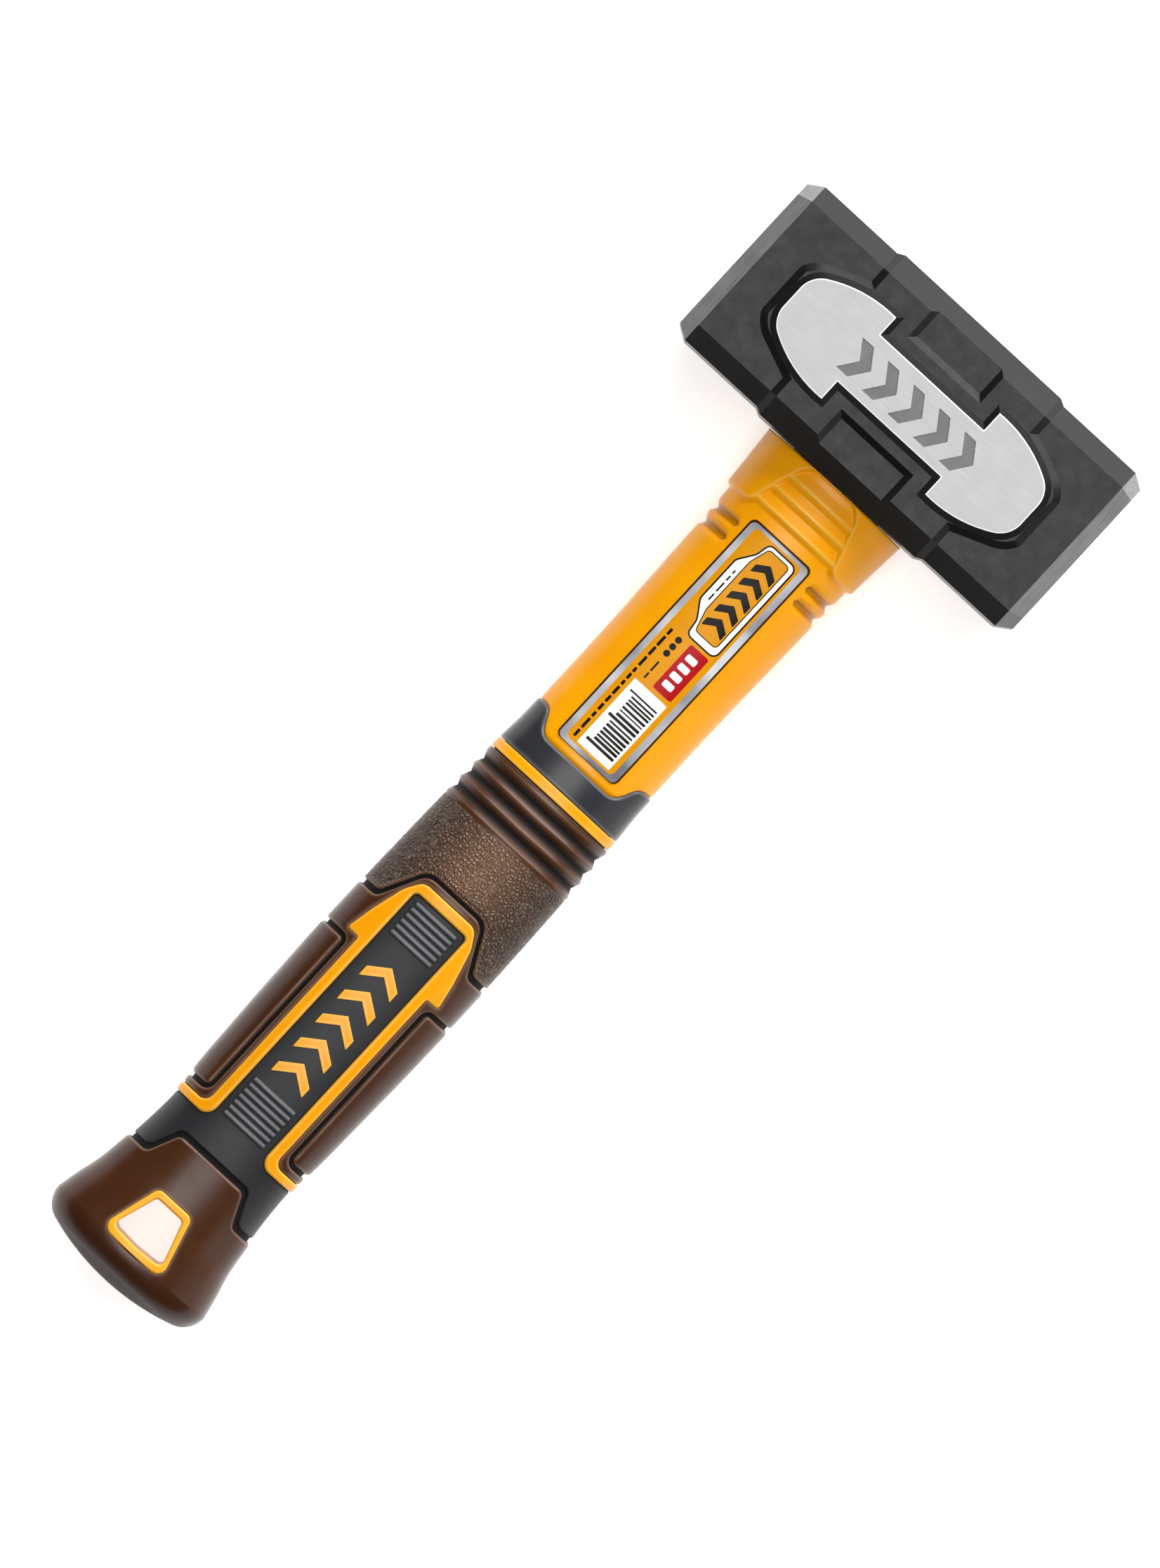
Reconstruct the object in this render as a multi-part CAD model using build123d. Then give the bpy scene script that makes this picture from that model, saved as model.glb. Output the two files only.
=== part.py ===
"""Club hammer, 1.5 kg: a forged two-faced head on a fibreglass handle with a moulded jacket and grip.

X runs along the head, Y along the handle towards the head, and Z up out of the front face.
The hammer lies on its back. Stations along the handle are measured from the butt end, in mm.
"""

import os
from math import copysign, cos, pi, sin

from build123d import *

# Driving dimensions, in millimetres.
LENGTH = 295.4
HEAD_LENGTH = 103.0
HEAD_CENTRE = 270.84  # station of the head's long axis
CENTRE_HALF = 24.56  # half height and half depth of the head's middle block
END_HALF = 23.64  # the same for the two end blocks
CHAMFER_LINE = 19.04  # where the long 45 degree chamfers start
FACE_HALF = 21.4
FACE_LINE = 18.2
FACE_BEVEL = 3.5  # length of the ground bevel round each striking face
BAND_HALF = 24.0  # half length of the raised middle block
BAND_SLOPE = 1.76
LENS_HALF = 39.9
BOSS_RISE = 0.55
BOSS_SLOPE = 1.44
PLATE_THICK = 0.7
PLATE_PROUD = 0.2
POCKET_DEPTH = 1.28
POCKET_HALF = 9.6
POCKET_WALL = 1.6
POCKET_EDGE = 12.7  # from the head's axis to the pocket floor's inner edge
EYE_MOUTH = (38.0, 27.0)  # length along X and width along Z at each end of the eye
EYE_WAIST = (35.0, 25.0)
CORE_SIZE = (26.0, 17.0)
CORE_START = 30.0
RESIN_DROP = 0.8  # how far the resin stops below the head's top

SHELL = 2.2  # thickness of the soft grip's outer shot
WINDOW_DROP = 0.4  # how far the grey shot sits below the shells round it
JACKET_TUBE = (14.6, 10.4)  # half sizes of the jacket's hidden tube inside the grip
TUBE_START = 32.0
BODY_START = 27.0
SQUARENESS = 2.4  # exponent of the handle's oval section
SECTION_POINTS = 24

CAP_SIDE = 28.7
CAP_FRONT = 36.1
CAP_GROOVE = 1.1
BAND_LOW = 43.2
BAND_HIGH = 45.6
PAD_LOW = 48.6
PAD_HIGH = 94.4
PAD_INNER = 13.1
PAD_GROOVE = 1.0
ARCH_SIDE = 107.4
ARCH_TOP = 119.1
ARCH_GROOVE = 0.9
RIB_START = 135.5
RING_LOW = 149.8
RING_HIGH = 152.5
COLLAR_HIGH = 165.6
COLLAR_FRONT = 158.8
COLLAR_WALL = 1.3
SHOULDER_LOW = 229.1
JACKET_END = HEAD_CENTRE - CENTRE_HALF
LABEL_HALF = 9.1
LABEL_LOW = 161.6
LABEL_HIGH = 228.4
LABEL_THICK = 0.2
RIDGE_PITCH = 1.7
RIDGE_WIDTH = 0.9

# The back plate is the lowest face, so the handle's axis is this far above it.
AXIS_Z = CENTRE_HALF + BOSS_RISE + PLATE_PROUD
HEAD_Y = HEAD_CENTRE - LENGTH / 2
FAR = 40.0  # further out than anything on the handle
ROOT = 2.0  # how deep a raised area reaches into the block under it

# Station, half width, half depth.
GRIP_FORM = (
    (-2.0, 22.1, 16.8),
    (4.0, 22.6, 17.1),
    (9.6, 22.4, 17.0),
    (16.0, 20.8, 15.9),
    (26.0, 19.0, 14.8),
    (40.8, 17.7, 14.0),
    (56.0, 18.2, 14.4),
    (76.8, 18.8, 14.9),
    (100.0, 19.1, 15.1),
    (118.0, 18.9, 14.9),
    (135.5, 18.5, 14.5),
    (149.8, 17.9, 14.0),
)
COLLAR_FORM = ((150.0, 17.95, 14.1), (153.0, 17.8, 13.95), (159.0, 17.4, 13.6), (168.0, 17.3, 13.5))
JACKET_FORM = (
    (149.0, 17.05, 13.25),
    (168.0, 17.05, 13.25),
    (186.0, 17.05, 13.3),
    (206.0, 17.4, 13.6),
    (226.0, 17.85, 14.0),
    (JACKET_END, 18.7, 14.8),
)
SHOULDER_FORM = ((SHOULDER_LOW, 18.9, 15.1), (236.0, 19.5, 15.6), (JACKET_END, 20.3, 16.3))
SLEEVE_RIBS = (
    (135.5, 18.4, 14.45),
    (137.8, 17.85, 13.9),
    (139.8, 18.0, 14.3),
    (142.1, 17.5, 13.7),
    (144.2, 17.9, 14.2),
    (146.2, 17.35, 13.55),
    (148.4, 17.9, 14.1),
    (149.8, 17.6, 13.8),
)
JACKET_GROOVES = (220.3, 224.5)
GROOVE_DEPTH = 1.0
GROOVE_REACH = 1.4  # from a groove's bottom to where its sides leave the jacket
GROOVE_CLEAR = 0.25
GROOVE_INNER = 10.8  # the grooves stop this far from the jacket's middle line
SHINGLES = ((243.4, 244.8), (239.5, 241.0), (235.3, 236.8), (231.0, 232.5))
SHINGLE_RISE = 1.0
SHINGLE_RUN = 2.4
DOME_RADIUS = 60.0
BUTT_ROUND = 5.5
RIDGE_HALF = 6.1
EYELET_WALL = 2.0
EYELET_PROUD = 0.3
MARK_START = 61.0
MARK_PITCH = 7.4
MARK_COUNT = 5
MARK_HALF = 4.8
MARK_POINT = 3.4
MARK_LIMB = 2.8
MARK_PROUD = 0.1


def y_at(station):
    return station - LENGTH / 2


def oval(station, half_width, half_depth):
    """The handle's section at one station: a superellipse square to the handle."""
    points = []
    for k in range(SECTION_POINTS):
        angle = 2 * pi * k / SECTION_POINTS
        across = copysign(abs(cos(angle)) ** (2 / SQUARENESS), cos(angle))
        up = copysign(abs(sin(angle)) ** (2 / SQUARENESS), sin(angle))
        points.append(Vector(half_width * across, y_at(station), AXIS_Z + half_depth * up))
    return Face(Wire([Edge.make_spline(points, periodic=True)]))


def form(stations, grow=0.0, ruled=False):
    """A solid through the ovals at the given stations, all grown outwards by the same amount."""
    return loft([oval(s, w + grow, d + grow) for s, w, d in stations], ruled=ruled)


def slab(low, high, half_width=FAR):
    """Everything between two stations."""
    return Pos(0, y_at((low + high) / 2), AXIS_Z) * Box(2 * half_width, high - low, 2 * FAR)


def front_slab(low, high, half_width=FAR):
    """Everything between two stations and in front of the handle's axis."""
    return Pos(0, y_at((low + high) / 2), AXIS_Z + FAR / 2) * Box(2 * half_width, high - low, FAR)


def rounded(corners):
    """A face with rounded corners, each corner given as x, station and radius."""
    points = [(x, y_at(s)) for x, s, _ in corners]
    return make_face(FilletPolyline(*points, radius=[r for _, _, r in corners], close=True).edges())


def mirrored(half):
    """A whole outline from its half at positive x, listed from one end of the centre line."""
    return list(half) + [(-x, s, r) for x, s, r in reversed(half) if x > 0]


def prism(corners):
    """An outline drawn on the front, cut right through the handle."""
    return Pos(0, 0, AXIS_Z - FAR) * extrude(rounded(corners), amount=2 * FAR)


def mirror_back(shape):
    return mirror(shape, about=Plane.XY.offset(AXIS_Z))


def octagon(x, half, line):
    """The head's section: a square with 45 degree corners."""
    corners = []
    for a, b in ((1, 1), (-1, 1), (-1, -1), (1, -1)):
        pair = [(a * half, b * line), (a * line, b * half)]
        corners += pair if a * b > 0 else pair[::-1]
    points = [Vector(x, HEAD_Y + u, AXIS_Z + v) for u, v in corners]
    return Face(Wire.make_polygon(points, close=True))


def plate_outline():
    """The emblem plate's dog-bone outline, round the head's centre."""
    bar, top = 7.2, 12.56
    quarter = [
        Line((0, bar), (16.0, bar)),
        Line((16.0, bar), (16.0, top)),
        ThreePointArc((16.0, top), (26.5, 11.35), (33.6, 8.3)),
        ThreePointArc((33.6, 8.3), (35.9, 5.9), (36.7, 3.2)),
        Line((36.7, 3.2), (36.7, 0)),
    ]
    edges = []
    for line in quarter:
        right = [line, mirror(line, about=Plane.XZ)]
        edges += right + [mirror(part, about=Plane.YZ) for part in right]
    return make_face([edge for part in edges for edge in part.edges()])


def make_eye():
    """The hourglass oval hole through the head, along the handle."""
    top, bottom = HEAD_Y + CENTRE_HALF, HEAD_Y - CENTRE_HALF
    sections = []
    for y, (across, deep) in ((bottom, EYE_MOUTH), (HEAD_Y, EYE_WAIST), (top, EYE_MOUTH)):
        plane = Plane(origin=(0, y, AXIS_Z), x_dir=(1, 0, 0), z_dir=(0, 1, 0))
        sections.append(plane * Ellipse(across / 2, deep / 2))
    return loft(sections)


def sloped(outline, rise, run):
    """A low raised area on an outline, with sides that slope in over the given run."""
    block = Pos(0, 0, -ROOT) * extrude(outline, amount=rise + ROOT)
    top = block.faces().sort_by(Axis.Z)[-1]
    return chamfer(top.edges(), length=run, length2=rise, reference=top)


def make_lens():
    """The raised ground round the plate, on the front face, with sloped sides."""
    half = [(19.0, 17.6, 0), (37.3, 10.3, 9), (LENS_HALF, 7.0, 3)]
    half += [(x, -u, r) for x, u, r in reversed(half)]
    corners = half + [(-x, u, r) for x, u, r in reversed(half)]
    points = [(x, u) for x, u, _ in corners]
    base = make_face(FilletPolyline(*points, radius=[r for _, _, r in corners], close=True).edges())
    return Pos(0, HEAD_Y, AXIS_Z + END_HALF) * sloped(base, CENTRE_HALF - END_HALF, BAND_SLOPE)


def make_boss():
    """The low boss that carries the plate, with sloped sides all round."""
    base = offset(plate_outline(), amount=BOSS_SLOPE, kind=Kind.INTERSECTION)
    return Pos(0, HEAD_Y, AXIS_Z + CENTRE_HALF) * sloped(base, BOSS_RISE, BOSS_SLOPE - 0.01)


def make_pocket():
    """One sloped pocket in the front face that opens to the upper chamfer."""
    top = CENTRE_HALF + 2
    floor = AXIS_Z + CENTRE_HALF - POCKET_DEPTH
    low = [(-POCKET_HALF, POCKET_EDGE), (POCKET_HALF, POCKET_EDGE), (POCKET_HALF, top), (-POCKET_HALF, top)]
    wide = POCKET_HALF + POCKET_WALL
    edge = POCKET_EDGE - POCKET_WALL
    high = [(-wide, edge), (wide, edge), (wide, top), (-wide, top)]
    faces = []
    for z, corners in ((floor, low), (floor + POCKET_DEPTH, high)):
        faces.append(Face(Wire.make_polygon([Vector(x, HEAD_Y + u, z) for x, u in corners], close=True)))
    above = extrude(faces[1], amount=2)
    return loft(faces, ruled=True) + above


def make_plate():
    """The bright plate let into the boss, standing just proud of it."""
    base = AXIS_Z + CENTRE_HALF + BOSS_RISE + PLATE_PROUD - PLATE_THICK
    return Pos(0, HEAD_Y, base) * extrude(plate_outline(), amount=PLATE_THICK)


def make_head(eye, plate):
    sections = (
        (-HEAD_LENGTH / 2, FACE_HALF, FACE_LINE),
        (FACE_BEVEL - HEAD_LENGTH / 2, END_HALF, CHAMFER_LINE),
        (-BAND_HALF - BAND_SLOPE, END_HALF, CHAMFER_LINE),
        (-BAND_HALF, CENTRE_HALF, CHAMFER_LINE),
    )
    sections += tuple((-x, half, line) for x, half, line in reversed(sections))
    head = loft([octagon(*section) for section in sections], ruled=True)
    lens, boss, pocket = make_lens(), make_boss(), make_pocket()
    lower_pocket = mirror(pocket, about=Plane.XZ.offset(-HEAD_Y))
    head += lens
    head += boss
    head += mirror_back(lens)
    head += mirror_back(boss)
    for cut in (pocket, lower_pocket, mirror_back(pocket), mirror_back(lower_pocket)):
        head -= cut
    return head - eye - plate - mirror_back(plate)


def make_core():
    plane = Plane(origin=(0, y_at(CORE_START), AXIS_Z), x_dir=(1, 0, 0), z_dir=(0, 1, 0))
    rod = plane * Ellipse(CORE_SIZE[0] / 2, CORE_SIZE[1] / 2)
    return extrude(rod, amount=LENGTH - RESIN_DROP - CORE_START)


def make_eye_resin(eye, core):
    return eye - core - slab(LENGTH - RESIN_DROP, LENGTH + 1)


def collar_outline():
    """The collar's upper edge, scooped down at the front and back."""
    half = [(0, RING_HIGH, 0), (FAR, RING_HIGH, 0), (FAR, COLLAR_HIGH, 0), (15.6, COLLAR_HIGH, 3.0)]
    half += [(12.6, 163.2, 2.0), (12.0, COLLAR_FRONT, 2.4), (0, COLLAR_FRONT, 0)]
    return mirrored(half[1:-1])


def make_shoulder():
    """The wide collar under the head, open at the front and back like a doorway."""
    doorway = [(12.6, SHOULDER_LOW - 1, 0), (12.6, 229.6, 1.2), (11.2, 231.0, 2.0), (8.4, 240.0, 20.0)]
    doorway += [(6.4, 245.0, 3.0), (5.0, JACKET_END + 2, 0)]
    return form(SHOULDER_FORM) - prism(mirrored(doorway))


def make_shingles():
    """Stepped ribs inside each doorway, each rising towards the butt and then dropping."""
    ribs = []
    for drop_low, drop_high in SHINGLES:
        ends = ((drop_low, 0.1), (drop_high, SHINGLE_RISE), (drop_high + SHINGLE_RUN, 0.0))
        ribs.append(form([(s, *jacket_half(s, grow)) for s, grow in ends], ruled=True))
    return ribs


def jacket_half(station, grow):
    """The jacket's half width and half depth between its listed stations, grown outwards."""
    pairs = list(zip(JACKET_FORM, JACKET_FORM[1:]))
    (low, w0, d0), (high, w1, d1) = [pair for pair in pairs if station >= pair[0][0]][-1]
    share = (station - low) / (high - low)
    return w0 + share * (w1 - w0) + grow, d0 + share * (d1 - d0) + grow


def make_jacket_tube():
    """The jacket's straight lower end, hidden inside the grip, before the core is cut out."""
    return form(((TUBE_START, *JACKET_TUBE), (RING_LOW + 4, *JACKET_TUBE)))


def make_groove(station):
    """What one V groove takes out of the jacket's two sides."""
    low, high = station - GROOVE_REACH, station + GROOVE_REACH
    ends = ((low, GROOVE_CLEAR), (station, -GROOVE_DEPTH), (high, GROOVE_CLEAR))
    left = form([(s, *jacket_half(s, grow)) for s, grow in ends], ruled=True)
    trim = GROOVE_REACH / 20
    return slab(low + trim, high - trim) - slab(low, high, GROOVE_INNER) - left


def make_jacket(core):
    jacket = form(JACKET_FORM)
    for station in JACKET_GROOVES:
        jacket -= make_groove(station)
    jacket -= prism(collar_outline())
    jacket -= slab(140, RING_HIGH)
    jacket += form(JACKET_FORM, -COLLAR_WALL) & slab(RING_LOW, COLLAR_HIGH + 4)
    jacket += make_jacket_tube()
    for rib in make_shingles():
        jacket += rib & slab(SHOULDER_LOW, JACKET_END)
    jacket += make_shoulder()
    return jacket - core


def make_label():
    half = [(LABEL_HALF, LABEL_LOW, 1.6), (LABEL_HALF, LABEL_HIGH, 1.6)]
    skin = form(JACKET_FORM, LABEL_THICK) - form(JACKET_FORM)
    return skin & prism(mirrored(half)) & front_slab(LABEL_LOW - 1, LABEL_HIGH + 1)


def make_collar():
    collar = form(COLLAR_FORM) & prism(collar_outline())
    return collar - form(JACKET_FORM, -COLLAR_WALL)


def make_trim_ring():
    ring = form(((RING_LOW, 17.9, 14.1), (RING_HIGH, 17.9, 14.05)))
    return fillet(ring.edges(), 0.4) - form(JACKET_FORM, -COLLAR_WALL)


def cap_outline(gap=0.0):
    """The butt cap's upper edge, or the edge of the groove above it."""
    half = [(FAR, -10, 0), (FAR, CAP_SIDE + gap, 0), (13.2 + gap / 2, CAP_SIDE + gap, 1.6)]
    half += [(10.4 + gap / 2, CAP_FRONT + gap, 2.2)]
    return mirrored(half)


def frame_outline():
    """The bright frame's outer edge, arched at the top, with feet out to the handle's sides."""
    half = [(FAR, BAND_LOW, 0), (FAR, BAND_HIGH, 0), (10.7, BAND_HIGH, 0.8), (10.7, 96.8, 0.6)]
    half += [(14.3, 96.8, 1.0), (12.9, 105.0, 12.0), (10.5, 112.4, 6.0), (7.2, 116.3, 3.0)]
    return mirrored(half)


def grey_outline():
    """The bright frame's inner edge, with everything that lies inside and below it."""
    half = [(FAR, BODY_START, 0), (FAR, BAND_LOW, 0), (8.1, BAND_LOW, 3.2), (8.1, 113.4, 1.3)]
    return mirrored(half)


def arch_outline(gap=0.0):
    """The lower grip's arched top edge, or the edge of the groove above it."""
    half = [(FAR, BAND_HIGH, 0), (FAR, ARCH_SIDE + gap, 0), (15.4, ARCH_SIDE + gap, 1.6)]
    half += [(12.3 + gap / 2, 114.4 + gap / 2, 9.0), (8.4, ARCH_TOP + gap, 4.0)]
    return mirrored(half)


def pad_block(side, grow=0.0):
    """Everything one side pad covers, or its groove when grown."""
    inner = PAD_INNER - grow
    low, high = PAD_LOW - grow, PAD_HIGH + grow
    corners = [(inner, low, 1.2 + grow), (FAR, low, 0), (FAR, high, 0), (inner, high, 1.2 + grow)]
    return prism([(side * x, s, r) for x, s, r in corners])


def eyelet_outline(wall):
    """The hanging hole, or the eyelet's outer edge when the wall is added."""
    top, bottom = 22.1 + wall, 11.0 - wall
    half = [(0, bottom - 0.5, 30.0), (7.5 + wall, bottom, 1.4 + wall / 2), (3.9 + wall, top, 1.0 + wall / 2)]
    return mirrored(half)


def make_grip_form():
    """The whole grip from the butt's dome to the ring."""
    grip = form(GRIP_FORM) & slab(0, RING_LOW)
    dome = Pos(0, y_at(DOME_RADIUS), AXIS_Z) * Sphere(DOME_RADIUS)
    grip -= slab(-5, BODY_START) - dome
    return fillet(grip.edges().sort_by(Axis.Y)[:1], BUTT_ROUND)


def make_butt_cap(grip, inner):
    cap = (grip & prism(cap_outline())) - (inner & slab(BODY_START, RING_LOW))
    return cap - prism(eyelet_outline(EYELET_WALL))


def make_eyelet():
    """The bright liner of the hanging hole, right through the cap and just proud of it."""
    ring = prism(eyelet_outline(EYELET_WALL)) - prism(eyelet_outline(0))
    return ring & form(GRIP_FORM, EYELET_PROUD)


def make_ridges():
    """Fine ridges across the top and bottom of the grey window, front and back."""
    ridges = []
    for start, count in ((103.0, 6), (47.2, 7)):
        for k in range(count):
            middle = start + k * RIDGE_PITCH
            ridges.append(slab(middle - RIDGE_WIDTH / 2, middle + RIDGE_WIDTH / 2, RIDGE_HALF))
    return ridges


def make_grip_body(inner, core):
    """The grey shot: the tube under everything, the windows and the plain zone above the cap."""
    shown = form(GRIP_FORM, -WINDOW_DROP) & prism(grey_outline())
    shown -= prism(cap_outline(CAP_GROOVE))
    body = (inner & slab(BODY_START, RING_LOW)) + shown
    crest = form(GRIP_FORM)
    for ridge in make_ridges():
        body += crest & ridge
    return body - make_jacket_tube() - core


def make_trim_frame(grip, inner):
    return (grip & prism(frame_outline())) - prism(grey_outline()) - inner


def make_grip_frame(grip, inner):
    """The brown shot round the bright frame and the two side pads."""
    region = prism(arch_outline()) - prism(frame_outline())
    for side in (1, -1):
        region -= pad_block(side, PAD_GROOVE)
    return (grip & region) - inner


def make_grip_sleeve(grip, inner):
    """The upper grip: a textured sleeve that ends in three ring grooves."""
    smooth = (grip & slab(ARCH_SIDE, RIB_START)) - prism(arch_outline(ARCH_GROOVE))
    ribbed = form(SLEEVE_RIBS, ruled=True)
    return (smooth + ribbed) - inner


def make_side_pad(grip, inner, side):
    return (grip & pad_block(side)) - inner


def make_marks(grip):
    """Plain chevrons let into the grey window on the front."""
    skin = form(GRIP_FORM, MARK_PROUD) - form(GRIP_FORM, -WINDOW_DROP)
    marks = None
    for k in range(MARK_COUNT):
        foot = MARK_START + k * MARK_PITCH
        half = [(0, foot + MARK_POINT, 0), (MARK_HALF, foot, 0), (MARK_HALF, foot + MARK_LIMB, 0)]
        half += [(0, foot + MARK_POINT + MARK_LIMB, 0)]
        piece = skin & prism(mirrored(half)) & front_slab(foot - 1, foot + MARK_PITCH + 1)
        marks = piece if marks is None else marks + piece
    return marks


NODES = {}
EYE = make_eye()
CORE = make_core()
PLATE = make_plate()
NODES["fibreglass_core"] = CORE
NODES["eye_resin"] = make_eye_resin(EYE, CORE)
NODES["emblem_plate_front"] = PLATE
NODES["emblem_plate_back"] = mirror_back(PLATE)
NODES["head"] = make_head(EYE, PLATE)
NODES["handle_jacket"] = make_jacket(CORE)
NODES["label"] = make_label()
NODES["grip_collar"] = make_collar()
NODES["trim_ring"] = make_trim_ring()
GRIP = make_grip_form()
INNER = form(GRIP_FORM, -SHELL)
NODES["butt_cap"] = make_butt_cap(GRIP, INNER)
NODES["hang_eyelet"] = make_eyelet()
NODES["grip_body"] = make_grip_body(INNER, CORE)
NODES["trim_frame"] = make_trim_frame(GRIP, INNER)
NODES["grip_frame"] = make_grip_frame(GRIP, INNER)
NODES["grip_sleeve"] = make_grip_sleeve(GRIP, INNER)
NODES["side_pad_right"] = make_side_pad(GRIP, INNER, 1)
NODES["side_pad_left"] = make_side_pad(GRIP, INNER, -1)
NODES["grip_marks_front"] = make_marks(GRIP)
NODES["grip_marks_back"] = mirror_back(NODES["grip_marks_front"])

os.makedirs("parts", exist_ok=True)
for name, shape in NODES.items():
    print(name, round(shape.volume, 1), shape.is_valid, len(shape.solids()))
    export_step(shape, f"parts/{name}.step")
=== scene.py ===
"""Looks of the club hammer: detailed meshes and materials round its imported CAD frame.

Lengths in this script are in millimetres until a mesh is written, and stations along the handle are
measured from the butt end, as in the model. Each grip piece is cut out of a fine skin laid over the
handle's oval form: an outline drawn on the front picks the piece, and the distance to that outline
shapes its rounded edge.
"""

import math

import bmesh
import bpy
import numpy as np
from mathutils import Matrix, Vector, noise


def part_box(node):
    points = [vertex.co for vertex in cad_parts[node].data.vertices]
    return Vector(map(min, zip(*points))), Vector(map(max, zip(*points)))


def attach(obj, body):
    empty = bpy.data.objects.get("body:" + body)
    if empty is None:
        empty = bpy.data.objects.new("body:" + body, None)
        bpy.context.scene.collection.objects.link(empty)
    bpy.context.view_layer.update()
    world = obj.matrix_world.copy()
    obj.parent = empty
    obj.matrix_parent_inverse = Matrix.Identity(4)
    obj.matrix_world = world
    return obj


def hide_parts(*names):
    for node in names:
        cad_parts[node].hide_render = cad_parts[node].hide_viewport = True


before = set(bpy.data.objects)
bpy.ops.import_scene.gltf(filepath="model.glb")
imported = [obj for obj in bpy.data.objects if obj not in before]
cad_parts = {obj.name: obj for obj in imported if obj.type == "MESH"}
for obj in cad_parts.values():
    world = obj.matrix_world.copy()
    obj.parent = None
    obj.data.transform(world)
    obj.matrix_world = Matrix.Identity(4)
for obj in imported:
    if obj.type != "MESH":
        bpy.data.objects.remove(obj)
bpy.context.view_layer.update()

MM = 0.001


def node_box(node):
    low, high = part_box(node)
    return np.array(low) / MM, np.array(high) / MM


# Where things are, read from the frame.
BUTT_Y = float(node_box("butt_cap")[0][1])
HEAD_LOW, HEAD_HIGH = node_box("head")
AXIS_Z = float(HEAD_LOW[2] + HEAD_HIGH[2]) / 2
HEAD_Y = float(HEAD_LOW[1] + HEAD_HIGH[1]) / 2
RING_LOW, RING_HIGH = (float(c[1]) - BUTT_Y for c in node_box("trim_ring"))
COLLAR_HIGH = float(node_box("grip_collar")[1][1]) - BUTT_Y
JACKET_END = float(HEAD_LOW[1]) - BUTT_Y
PLATE_TOP = float(node_box("emblem_plate_front")[1][2])
PLATE_BASE = float(node_box("emblem_plate_front")[0][2])
BODY_LOW = float(node_box("grip_body")[0][1]) - BUTT_Y

FAR = 40.0
STEP = 0.45  # spacing of the skin's points along the handle
COLUMNS = 260  # points round the handle
SQUARENESS = 2.4
LIP_ANGLES = (24, 46, 68, 90)  # degrees round a rounded edge at which the skin gets a line of points
EDGE_HIGHLIGHT_WIDTH = 1.0  # how far from an edge its painted highlight reaches
HOLLOW_SHADE_DROPS = (0.15, 0.75)  # depths below the form at which painted shade in a hollow starts and is darkest

# Station, half width and half depth of the grip, the collar and the jacket.
GRIP_FORM = (
    (8.8, 22.5, 17.0),
    (14.4, 21.25, 16.2),
    (19.2, 20.0, 15.5),
    (26.0, 19.0, 14.8),
    (33.6, 18.15, 14.3),
    (40.8, 17.7, 14.0),
    (56.0, 18.2, 14.4),
    (76.8, 18.8, 14.9),
    (100.0, 19.1, 15.1),
    (118.0, 18.9, 14.9),
    (135.5, 18.5, 14.5),
    (152.5, 17.85, 14.0),
)
COLLAR_FORM = ((150.0, 17.95, 14.1), (153.0, 17.8, 13.95), (159.0, 17.4, 13.6), (168.0, 17.3, 13.5))
JACKET_FORM = (
    (149.0, 17.05, 13.25),
    (168.0, 17.05, 13.25),
    (186.0, 17.05, 13.3),
    (206.0, 17.4, 13.6),
    (226.0, 17.85, 14.0),
    (247.0, 18.7, 14.8),
)

# ---------------------------------------------------------------- outlines


def rounded(corners, arc_steps=7):
    """The closed outline through corners given as x, station and radius, with each corner rounded."""
    points = []
    count = len(corners)
    for k, (x, s, radius) in enumerate(corners):
        here = np.array((x, s))
        back = np.array(corners[k - 1][:2]) - here
        ahead = np.array(corners[(k + 1) % count][:2]) - here
        back /= np.linalg.norm(back)
        ahead /= np.linalg.norm(ahead)
        half = math.acos(float(np.clip(back @ ahead, -1, 1))) / 2
        if radius <= 0 or abs(half - math.pi / 2) < 1e-3:
            points.append(here)
            continue
        reach = radius / math.tan(half)
        centre = here + (back + ahead) / np.linalg.norm(back + ahead) * radius / math.sin(half)
        first = here + back * reach - centre
        last = here + ahead * reach - centre
        start = math.atan2(first[1], first[0])
        turn = (math.atan2(last[1], last[0]) - start + math.pi) % (2 * math.pi) - math.pi
        for step in range(arc_steps + 1):
            angle = start + turn * step / arc_steps
            points.append(centre + radius * np.array((math.cos(angle), math.sin(angle))))
    return np.array(points)


def mirrored(half):
    """A whole outline from the corners of its half at positive x, listed from the bottom up."""
    return rounded(list(half) + [(-x, s, r) for x, s, r in reversed(half) if x > 0])


def rectangle(x_low, x_high, s_low, s_high, radius=0.0):
    corners = [(x_low, s_low), (x_high, s_low), (x_high, s_high), (x_low, s_high)]
    return rounded([(x, s, radius) for x, s in corners])


def chevron(middle, foot, half, point, limb, sideways=False):
    """A chevron with its two feet at foot and its point ahead of them, along the handle or across it."""
    right = [(half, 0), (half, limb), (0, point + limb), (-half, limb), (-half, 0), (0, point)]
    if sideways:
        return np.array([(foot + ahead, middle - across) for across, ahead in right])
    return np.array([(middle + across, foot + ahead) for across, ahead in right])


def inside(x, s, outline):
    """Distance from each point to an outline, positive inside it."""
    best = np.full(x.shape, 1e9)
    within = np.zeros(x.shape, bool)
    for (x0, s0), (x1, s1) in zip(outline, np.roll(outline, -1, axis=0)):
        dx, ds = x1 - x0, s1 - s0
        share = np.clip(((x - x0) * dx + (s - s0) * ds) / max(dx * dx + ds * ds, 1e-12), 0, 1)
        best = np.minimum(best, (x - x0 - share * dx) ** 2 + (s - s0 - share * ds) ** 2)
        if ds:
            within ^= ((s0 > s) != (s1 > s)) & (x < x0 + (s - s0) * dx / ds)
    return np.where(within, 1.0, -1.0) * np.sqrt(best)


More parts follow.
